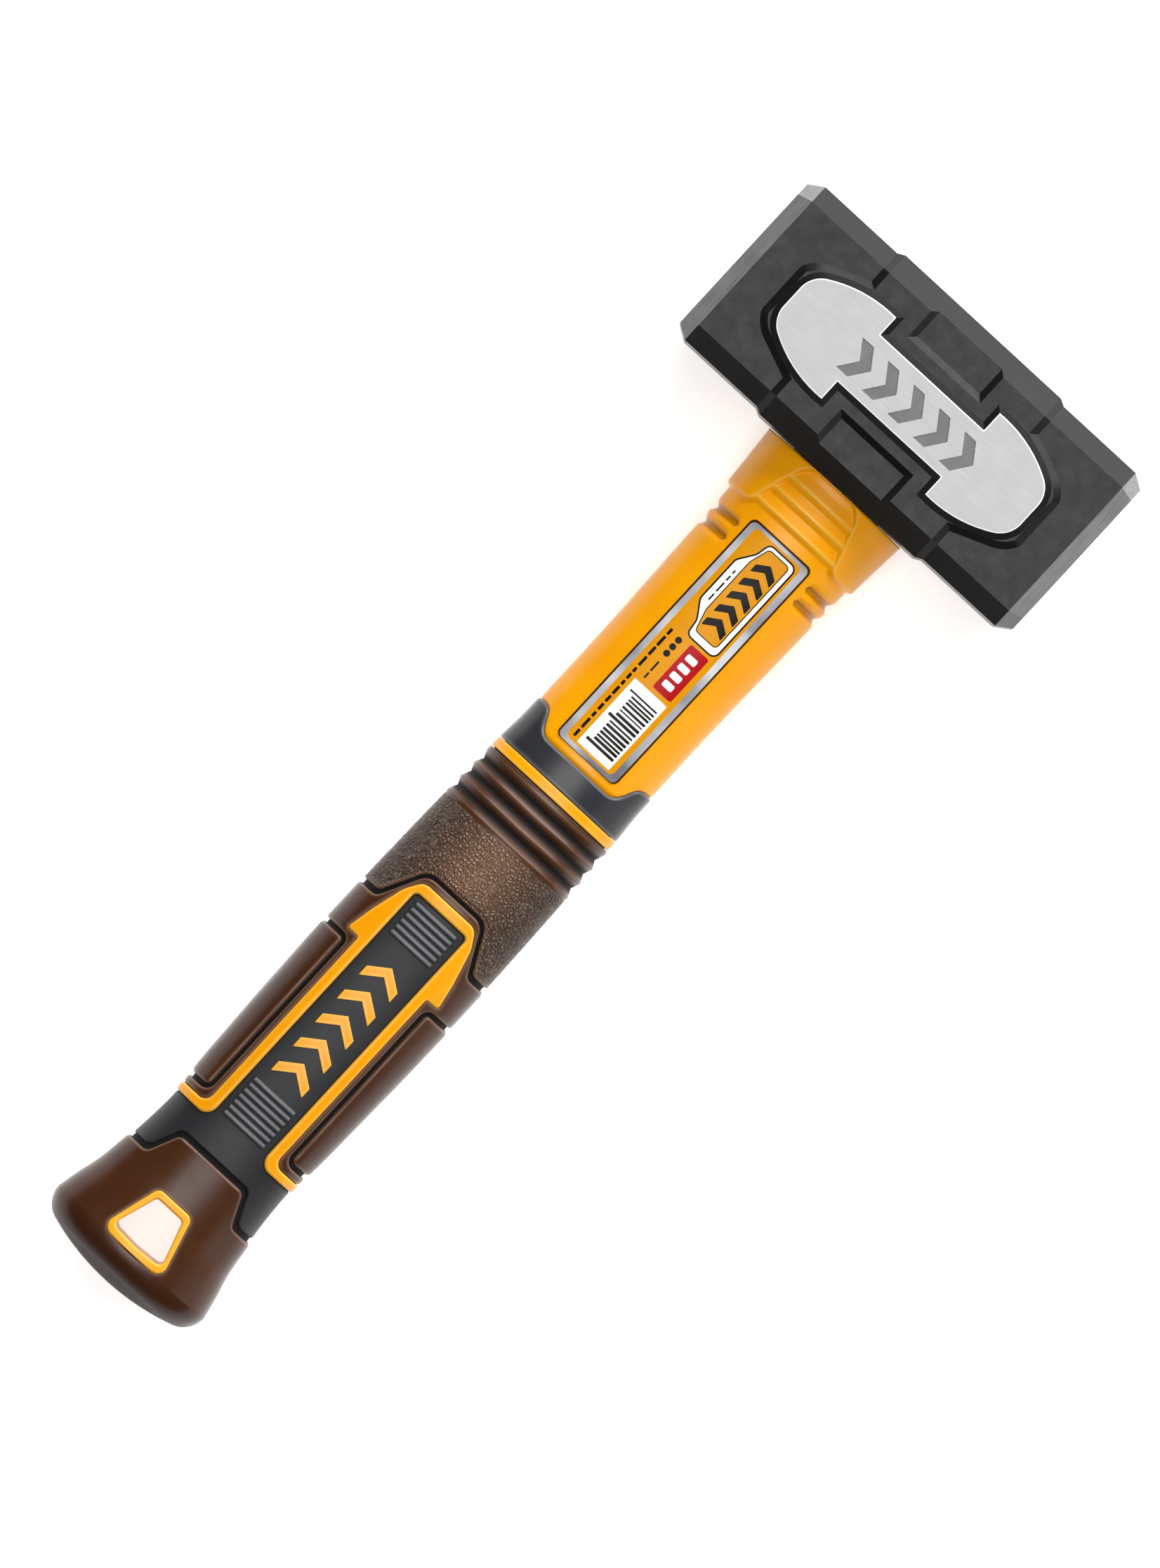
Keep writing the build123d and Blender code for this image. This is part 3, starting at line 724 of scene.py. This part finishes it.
def rows_of_marks(rng, low, high, lengths, gaps):
    """Marks of uneven length one after another along the handle, as start and end stations."""
    marks = []
    while low < high - lengths[0]:
        end = min(high, low + rng.uniform(*lengths))
        marks.append((low, end))
        low = end + rng.uniform(*gaps)
    return marks


# ---------------------------------------------------------------- head

HEAD_STATION = HEAD_Y - BUTT_Y
FACE_LINE = 48.15  # how far out the bare ends of the head start
EDGE_RADIUS = 0.3
SHARP_ANGLE = math.radians(14)  # edges that turn by more than this are rounded
MARK_PITCH = 7.9
MARK_START = -18.6
MARK_COUNT = 5
MARK_DEPTH = 0.08
MARK_WALL = 0.06  # width of the slope between the plate and the floor of a mark


def arc(first, middle, last, count=10):
    """Points on the circle through three points, from the first to the last."""
    (ax, ay), (bx, by), (cx, cy) = first, middle, last
    spread = 2 * (ax * (by - cy) + bx * (cy - ay) + cx * (ay - by))
    squares = [x * x + y * y for x, y in (first, middle, last)]
    x = (squares[0] * (by - cy) + squares[1] * (cy - ay) + squares[2] * (ay - by)) / spread
    y = (squares[0] * (cx - bx) + squares[1] * (ax - cx) + squares[2] * (bx - ax)) / spread
    start, end = math.atan2(ay - y, ax - x), math.atan2(cy - y, cx - x)
    turn = (end - start + math.pi) % (2 * math.pi) - math.pi
    radius = math.hypot(ax - x, ay - y)
    angles = start + turn * np.linspace(0, 1, count)
    return np.stack([x + radius * np.cos(angles), y + radius * np.sin(angles)], 1)


def plate_edge():
    """The plate's dog-bone outline: a bar that widens into two rounded shields."""
    bar, neck, top = 7.2, 16.0, 12.56
    tip = (36.7, 3.2)
    shoulder = (33.6, 8.3)
    flank = arc((neck, top), (26.5, 11.35), shoulder)
    shield = np.concatenate([flank, arc(shoulder, (35.9, 5.9), tip)[1:]])
    upper = np.concatenate([[(neck, bar)], shield])
    right = np.concatenate([upper * (1, -1), upper[::-1]])
    outline = np.concatenate([right, (right * (-1, 1))[::-1]])
    return outline + (0, HEAD_STATION)


def make_head():
    """The forged head: the frame's shape with every edge softened."""
    bm = bmesh.new()
    bm.from_mesh(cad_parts["head"].data)
    wear_and_highlight = bm.faces.layers.float.new("rim")
    bmesh.ops.remove_doubles(bm, verts=bm.verts, dist=1e-6)
    bmesh.ops.dissolve_limit(bm, angle_limit=math.radians(1.0), verts=bm.verts, edges=bm.edges)
    sharp = [edge for edge in bm.edges if edge.is_manifold and edge.calc_face_angle() > SHARP_ANGLE]
    soften = {"offset": EDGE_RADIUS * MM, "segments": 3, "profile": 0.5, "clamp_overlap": True}
    # the softened edges are marked for the paint's light edge wear, which also stands in as a painted
    # highlight
    for face in bmesh.ops.bevel(bm, geom=sharp, affect="EDGES", **soften)["faces"]:
        face[wear_and_highlight] = 1.0
    for face in bm.faces:
        face.smooth = True
        face.material_index = int(abs(face.calc_center_median().x) > FACE_LINE * MM)
    mesh = bpy.data.meshes.new("head_forging")
    bm.to_mesh(mesh)
    bm.free()
    obj = link(bpy.data.objects.new("head_forging", mesh))
    obj.modifiers.new("even_shading", "WEIGHTED_NORMAL").keep_sharp = True
    return obj


def make_plate():
    """The bright plate in the head, with a row of plain chevrons sunk into it."""
    half_length, half_width, columns = 37.5, 13, 260
    rows = rows_between(HEAD_STATION - half_width, HEAD_STATION + half_width, step=0.25)
    x = np.linspace(half_length, -half_length, columns)
    base = np.empty((len(rows), len(x), 3))
    base[..., 0] = x
    base[..., 1] = BUTT_Y + rows[:, None]
    base[..., 2] = PLATE_TOP
    skin = Skin(base, False)
    skin.measure("edge", plate_edge())
    skin.add_lip("edge", 0.18)
    feet = [MARK_START + MARK_PITCH * k for k in range(MARK_COUNT)]
    marks = [chevron(HEAD_STATION - 0.4, foot, 4.5, 3.2, 3.4, sideways=True) for foot in feet]
    for mark in marks:
        skin.paint(mark, 1)
        skin.cut("print", MARK_WALL)
    depth = np.max([inside(skin["x"], skin["s"], mark) for mark in marks], axis=0)
    height = skin.lip_height() - MARK_DEPTH * ramp(depth, 0.0, MARK_WALL)
    return skin_piece("front_plate", skin, height, PLATE_TOP - PLATE_BASE)


# ---------------------------------------------------------------- materials

PEBBLE_SIZE = 0.78  # the grain in the material, finer than the grain in the mesh
PEBBLE_STRETCH = (1.0, 0.75, 1.0)


def tone(code):
    """A screen colour such as F5A312 as the linear colour that a shader takes."""
    parts = [int(code[k : k + 2], 16) / 255 for k in (0, 2, 4)]
    return (*(p / 12.92 if p <= 0.04045 else ((p + 0.055) / 1.055) ** 2.4 for p in parts), 1.0)


class Finish:
    """A material being made: short calls add nodes that work in the hammer's own millimetres."""

    def __init__(self, name, roughness=0.5, metallic=0.0, coat=0.0, specular=0.5):
        self.material = bpy.data.materials.new(name)
        self.material.use_nodes = True
        self.tree = self.material.node_tree
        self.shader = self.tree.nodes["Principled BSDF"]
        self.height = None
        self.set("Roughness", roughness)
        self.set("Metallic", metallic)
        self.set("Coat Weight", coat)
        self.set("Coat Roughness", 0.12)
        self.set("Specular IOR Level", specular)
        place = self.tree.nodes.new("ShaderNodeTexCoord").outputs["Object"]
        self.space = self.add("VectorMath", {"Vector": place, "Scale": 1000.0}, operation="SCALE")

    def set(self, name, value):
        self.feed(self.shader.inputs[name], value)

    def feed(self, socket, value):
        if isinstance(value, bpy.types.NodeSocket):
            self.tree.links.new(value, socket)
        else:
            socket.default_value = value

    def add(self, kind, inputs, **settings):
        node = self.tree.nodes.new("ShaderNode" + kind)
        for name, value in settings.items():
            setattr(node, name, value)
        for name, value in inputs.items():
            self.feed(node.inputs[name], value)
        return node.outputs[0]

    def stretched(self, stretch):
        return self.add("VectorMath", {0: self.space, 1: stretch}, operation="MULTIPLY")

    def noise(self, size, detail=2.0, stretch=None):
        """Soft cloudy noise with features of the given size."""
        space = self.stretched(stretch) if stretch else self.space
        return self.add("TexNoise", {"Vector": space, "Scale": 1.0 / size, "Detail": detail})

    def cells(self, size, feature="DISTANCE_TO_EDGE", stretch=None):
        space = self.stretched(stretch) if stretch else self.space
        return self.add("TexVoronoi", {"Vector": space, "Scale": 1.0 / size}, feature=feature)

    def value(self, name):
        """One of the values kept at the mesh's points."""
        node = self.tree.nodes.new("ShaderNodeAttribute")
        node.attribute_name = name
        return node.outputs["Fac"]

    def rim_near(self, level):
        """1 where the rim value is above a level."""
        return self.between(self.value("rim"), level, level + 0.1)

    def between(self, value, low, high, to_low=0.0, to_high=1.0):
        inputs = {"Value": value, "From Min": low, "From Max": high, "To Min": to_low, "To Max": to_high}
        return self.add("MapRange", inputs, clamp=True)

    def times(self, a, b):
        return self.add("Math", {0: a, 1: b}, operation="MULTIPLY")

    def mix(self, factor, a, b):
        node = self.tree.nodes.new("ShaderNodeMix")
        node.data_type = "RGBA"
        self.feed(node.inputs["Factor"], factor)
        self.feed(node.inputs[6], a)
        self.feed(node.inputs[7], b)
        return node.outputs[2]

    def bump(self, value, depth):
        """Adds relief of the given depth in millimetres."""
        inputs = {"Height": value, "Distance": depth * MM, "Strength": 1.0}
        if self.height:
            inputs["Normal"] = self.height
        self.height = self.add("Bump", inputs)
        self.set("Normal", self.height)


def speckled(finish, dark, light, size, low=0.35, high=0.65):
    """A base colour that drifts between two tones, with features of the given size."""
    return finish.mix(finish.between(finish.noise(size, 3.0), low, high), tone(dark), tone(light))


def uneven(finish, low, high, size=6.0):
    """Roughness that varies a little from place to place."""
    finish.set("Roughness", finish.between(finish.noise(size, 4.0), 0.3, 0.7, low, high))


def yellow_plastic(name="yellow_plastic"):
    """Moulded yellow plastic: glossy, very faintly mottled, with a painted highlight along its edges,
    treads and doorway and painted shade in its hollows.
    """
    finish = Finish(name, specular=0.26)
    base = speckled(finish, "FBA400", "FFAA00", 18.0)
    # painted highlight: paler along edges, treads and the doorway's edge
    base = finish.mix(finish.times(finish.value("rim"), 0.6), base, tone("FFC850"))
    # painted shade: darker in hollows
    finish.set("Base Color", finish.mix(finish.times(finish.value("hollow_shade"), 0.6), base, tone("7A4400")))
    uneven(finish, 0.26, 0.36)
    finish.bump(finish.noise(0.45, 3.0), 0.012)
    return finish.material


def rubber(name, dark, light, edge, grained=False):
    """Soft moulded rubber, with a painted highlight in the edge tone along its edges and painted shade,
    dull as well as dark, in its grooves and at the butt end.
    """
    finish = Finish(name, specular=0.3)
    base = speckled(finish, dark, light, 9.0)
    if grained:
        pebbles = finish.cells(PEBBLE_SIZE, stretch=PEBBLE_STRETCH)
        base = finish.mix(finish.between(pebbles, 0.02, 0.34, 0.95, 0.0), base, tone("1C0E06"))
        finish.bump(finish.between(pebbles, 0.0, 0.35), 0.28)
    hollow_shade = finish.value("hollow_shade")
    # painted highlight: the edge tone on edges, ridge tops, sleeve rings and the middle of the grain
    base = finish.mix(finish.times(finish.value("rim"), 0.55), base, tone(edge))
    # painted shade: near black in grooves and hollows, which are also rougher
    finish.set("Base Color", finish.mix(finish.times(hollow_shade, 0.9), base, tone("0A0604")))
    polish = finish.between(finish.noise(12.0, 4.0), 0.3, 0.7, 0.24, 0.32)
    finish.set("Roughness", finish.between(hollow_shade, 0.0, 1.0, polish, 0.8))
    finish.bump(finish.noise(0.3, 3.0), 0.012)
    return finish.material


def black_paint():
    """Stoved black paint: slight orange peel, specks of dust and thin light wear on the edges, which also
    stands in as a painted highlight on them.
    """
    finish = Finish("black_paint", specular=0.2)
    base = speckled(finish, "171717", "1A1A1A", 12.0)
    chips = finish.between(finish.noise(1.6, 5.0), 0.55, 0.62)
    # light chips of worn paint on the edges, which are also a painted highlight
    wear_and_highlight = finish.times(finish.value("rim"), finish.between(chips, 0.0, 1.0, 0.25, 0.9))
    finish.set("Base Color", finish.mix(wear_and_highlight, base, tone("6E6E6E")))
    uneven(finish, 0.3, 0.38, 3.0)
    finish.bump(finish.noise(0.9, 2.0), 0.012)
    finish.bump(finish.between(finish.noise(0.35, 1.0), 0.72, 0.8), 0.02)
    return finish.material


def ground_steel():
    """Bare steel, ground across the ends of the head, with a few darker scratches."""
    finish = Finish("ground_steel", metallic=0.2, specular=0.4)
    lines = finish.noise(0.35, 4.0, (1.0, 0.05, 1.0))
    base = finish.mix(finish.between(lines, 0.35, 0.65), tone("747474"), tone("868686"))
    dull = finish.between(finish.noise(7.0, 4.0), 0.5, 0.7, 0.0, 0.35)
    finish.set("Base Color", finish.mix(dull, base, tone("6C6864")))
    uneven(finish, 0.36, 0.52, 2.0)
    finish.bump(lines, 0.02)
    return finish.material


def bright_plate():
    """Brushed bright plate, with a near-white painted highlight on its rounded edge."""
    finish = Finish("bright_plate", metallic=0.04, specular=0.2)
    lines = finish.noise(0.3, 4.0, (0.04, 1.0, 1.0))
    base = finish.mix(finish.between(lines, 0.3, 0.7), tone("B4B4B4"), tone("BCBCBC"))
    # painted highlight: near white on the plate's rounded edge
    finish.set("Base Color", finish.mix(finish.rim_near(0.75), base, tone("FAFAFA")))
    uneven(finish, 0.34, 0.44, 5.0)
    finish.bump(lines, 0.006)
    return finish.material


def ink(name, dark, light, roughness=0.34, metallic=0.0, size=7.0):
    """A printed colour, with the faint unevenness of ink on film."""
    finish = Finish(name, metallic=metallic, specular=0.12)
    finish.set("Base Color", speckled(finish, dark, light, size))
    uneven(finish, roughness - 0.04, roughness + 0.04, 9.0)
    finish.bump(finish.noise(2.5, 1.0), 0.004)
    return finish.material


def glass_fibre():
    """The sawn end of the core: pale fibres in resin."""
    finish = Finish("glass_fibre")
    strands = finish.cells(0.45, "F1")
    finish.set("Base Color", finish.mix(finish.between(strands, 0.1, 0.6), tone("D9CFA4"), tone("A89A62")))
    uneven(finish, 0.45, 0.6, 1.5)
    finish.bump(strands, 0.04)
    return finish.material


def cast_resin():
    """The dark casting resin that holds the head."""
    finish = Finish("cast_resin", coat=0.2)
    finish.set("Base Color", speckled(finish, "2C2A26", "3B3832", 4.0))
    uneven(finish, 0.3, 0.5, 2.0)
    finish.bump(finish.noise(1.5, 4.0), 0.08)
    return finish.material


# ---------------------------------------------------------------- putting it together


def dress(obj, node, slot, *materials):
    """Finishes a piece: its materials, the node that it stands for and the body that it rides on."""
    for material in materials:
        obj.data.materials.append(material)
    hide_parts(node)
    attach(obj, "root")
    return obj


def refinish(node, material):
    """Gives a frame node that keeps its shape a better material."""
    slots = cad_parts[node].data.materials
    for k in range(len(slots)):
        slots[k] = material


def dress_hammer():
    yellow = yellow_plastic()
    brown = rubber("brown_rubber", "42230F", "472712", "8C6A54")
    grained = rubber("grained_rubber", "5E4230", "705240", "AC8468", grained=True)
    grey = rubber("grey_rubber", "2E2F32", "323336", "808185")
    dress(make_butt_cap(), "butt_cap", "brown_rubber", brown)
    dress(make_eyelet(), "hang_eyelet", "yellow_plastic", yellow)
    # near-black rubber for the groove floors: painted shade
    shade = rubber("groove_shade_rubber", "0E0A08", "15100D", "15100D")
    dress(make_grip_body(), "grip_body", "grey_rubber", grey, shade)
    dress(make_trim_frame(), "trim_frame", "yellow_plastic", yellow)
    dress(make_grip_frame(), "grip_frame", "brown_rubber", brown)
    dress(make_side_pad(1, "pad_right"), "side_pad_right", "brown_rubber", brown)
    dress(make_side_pad(-1, "pad_left"), "side_pad_left", "brown_rubber", brown)
    dress(make_grip_sleeve(), "grip_sleeve", "brown_rubber", brown, grained)
    dress(make_trim_ring(), "trim_ring", "yellow_plastic", yellow)
    dress(make_collar(), "grip_collar", "grey_rubber", grey)
    dress(make_jacket(), "handle_jacket", "yellow_plastic", yellow)
    marks = make_marks()
    back_marks = back_copy(marks, "back_marks")
    dress(marks, "grip_marks_front", "yellow_plastic", yellow)
    dress(back_marks, "grip_marks_back", "yellow_plastic", yellow)
    inks = [ink("label_film", "E09400", "E69A04")]
    inks += [ink("label_silver", "5E5E64", "E6E6EA", metallic=0.15, size=22.0)]
    inks += [ink("label_black", "0B0805", "100C08"), ink("label_white", "F4F4F1", "F8F8F6")]
    inks += [ink("label_red", "B0000C", "B80412"), ink("label_line", "3A2008", "44280C")]
    dress(make_label(), "label", "label_film", *inks)
    dress(make_head(), "head", "black_paint", black_paint(), ground_steel())
    plate = make_plate()
    back_plate = back_copy(plate, "back_plate")
    metal, mark_grey = bright_plate(), ink("plate_mark", "6C6C6C", "747474", 0.45, 0.2)
    dress(plate, "emblem_plate_front", "bright_plate", metal, mark_grey)
    dress(back_plate, "emblem_plate_back", "bright_plate", metal, mark_grey)
    refinish("fibreglass_core", glass_fibre())
    refinish("eye_resin", cast_resin())


# ---------------------------------------------------------------- studio


TABLE_GLOW = 0.55  # the floor is a light table, so that the hammer throws hardly any shadow


def add_floor():
    half = 2.5
    mesh = bpy.data.meshes.new("studio_floor")
    corners = [(-half, -half, 0), (half, -half, 0), (half, half, 0), (-half, half, 0)]
    mesh.from_pydata(corners, [], [(0, 1, 2, 3)])
    floor = link(bpy.data.objects.new("studio_floor", mesh))
    finish = Finish("pale_floor", 0.7, specular=0.2)
    finish.set("Base Color", speckled(finish, "F2F2F2", "F4F4F4", 60.0))
    finish.set("Emission Color", (1, 1, 1, 1))
    finish.set("Emission Strength", TABLE_GLOW)
    floor.data.materials.append(finish.material)


def add_light(name, location, aim, size, radiance):
    light = bpy.data.lights.new(name, "AREA")
    light.shape = "RECTANGLE"
    light.size, light.size_y = size
    light.energy = radiance * math.pi * size[0] * size[1]
    obj = link(bpy.data.objects.new(name, light))
    obj.location = location
    obj.rotation_euler = (Vector(aim) - Vector(location)).to_track_quat("-Z", "Y").to_euler()


def add_world(strength):
    world = bpy.data.worlds.new("studio")
    world.use_nodes = True
    world.node_tree.nodes["Background"].inputs["Color"].default_value = (1, 1, 1, 1)
    world.node_tree.nodes["Background"].inputs["Strength"].default_value = strength
    bpy.context.scene.world = world


def add_camera():
    """A long lens straight above the hammer, turned so that the handle rises to the right."""
    lens, sensor, view_height = 600.0, 36.0, 357.3 * MM
    turn = math.radians(47.34)
    right = Vector((math.sin(turn), math.cos(turn), 0))
    up = Vector((-math.cos(turn), math.sin(turn), 0))
    camera = bpy.data.cameras.new("camera")
    camera.lens = lens
    camera.sensor_fit = "VERTICAL"
    camera.sensor_height = sensor
    camera.clip_end = 20.0
    obj = link(bpy.data.objects.new("camera", camera))
    aim_x, aim_station, aim_above_axis = 2.95, 156.7, 12
    centre = Vector((aim_x * MM, (aim_station + BUTT_Y) * MM, (AXIS_Z + aim_above_axis) * MM))
    pose = Matrix((right, up, Vector((0, 0, 1)))).transposed().to_4x4()
    pose.translation = centre + Vector((0, 0, view_height / sensor * lens))
    obj.matrix_world = pose
    bpy.context.scene.camera = obj


dress_hammer()
add_floor()
add_camera()
add_light("overhead", location=(0.0, 0.0, 1.6), aim=(0, 0, 0), size=(0.4, 1.5), radiance=7.6)
add_light("right_panel", location=(1.25, 0.1, 0.55), aim=(0, 0, 0.02), size=(0.4, 1.1), radiance=1.5)
add_light("head_panel", location=(0.0, 1.4, 0.55), aim=(0, 0, 0.02), size=(2.0, 1.1), radiance=6.2)
add_world(strength=0.06)
bpy.context.scene.view_settings.view_transform = "Standard"
